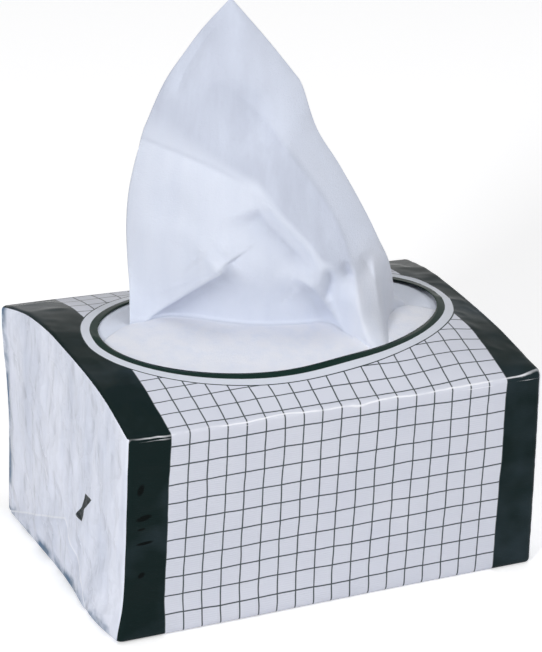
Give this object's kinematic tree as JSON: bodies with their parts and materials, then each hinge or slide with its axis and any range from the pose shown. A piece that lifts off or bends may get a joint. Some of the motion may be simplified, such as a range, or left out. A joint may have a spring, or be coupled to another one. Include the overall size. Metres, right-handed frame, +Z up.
{
  "type": "soft pack of polishing wipes",
  "caption": "Film-wrapped soft pack of folded wipes with a domed top, envelope-folded ends and an oval torn opening, its top wipe pulled up into a soft peak.",
  "frame": {"origin": "middle of the base, on the surface that the pack stands on", "axes": "+X to the right along the pack's width, +Y from the printed front to the back, +Z up"},
  "size_m": [0.229, 0.15, 0.2877],
  "materials": {
    "printed_film": "glossy white film, printed with a fine dark green grid and two dark green end bands",
    "wipe_cloth": "soft matt white nonwoven"
  },
  "bodies": {
    "root": {"film_wrapper": "printed_film", "wipe_stack": "wipe_cloth", "pulled_wipe": "wipe_cloth"}
  },
  "joints": []
}
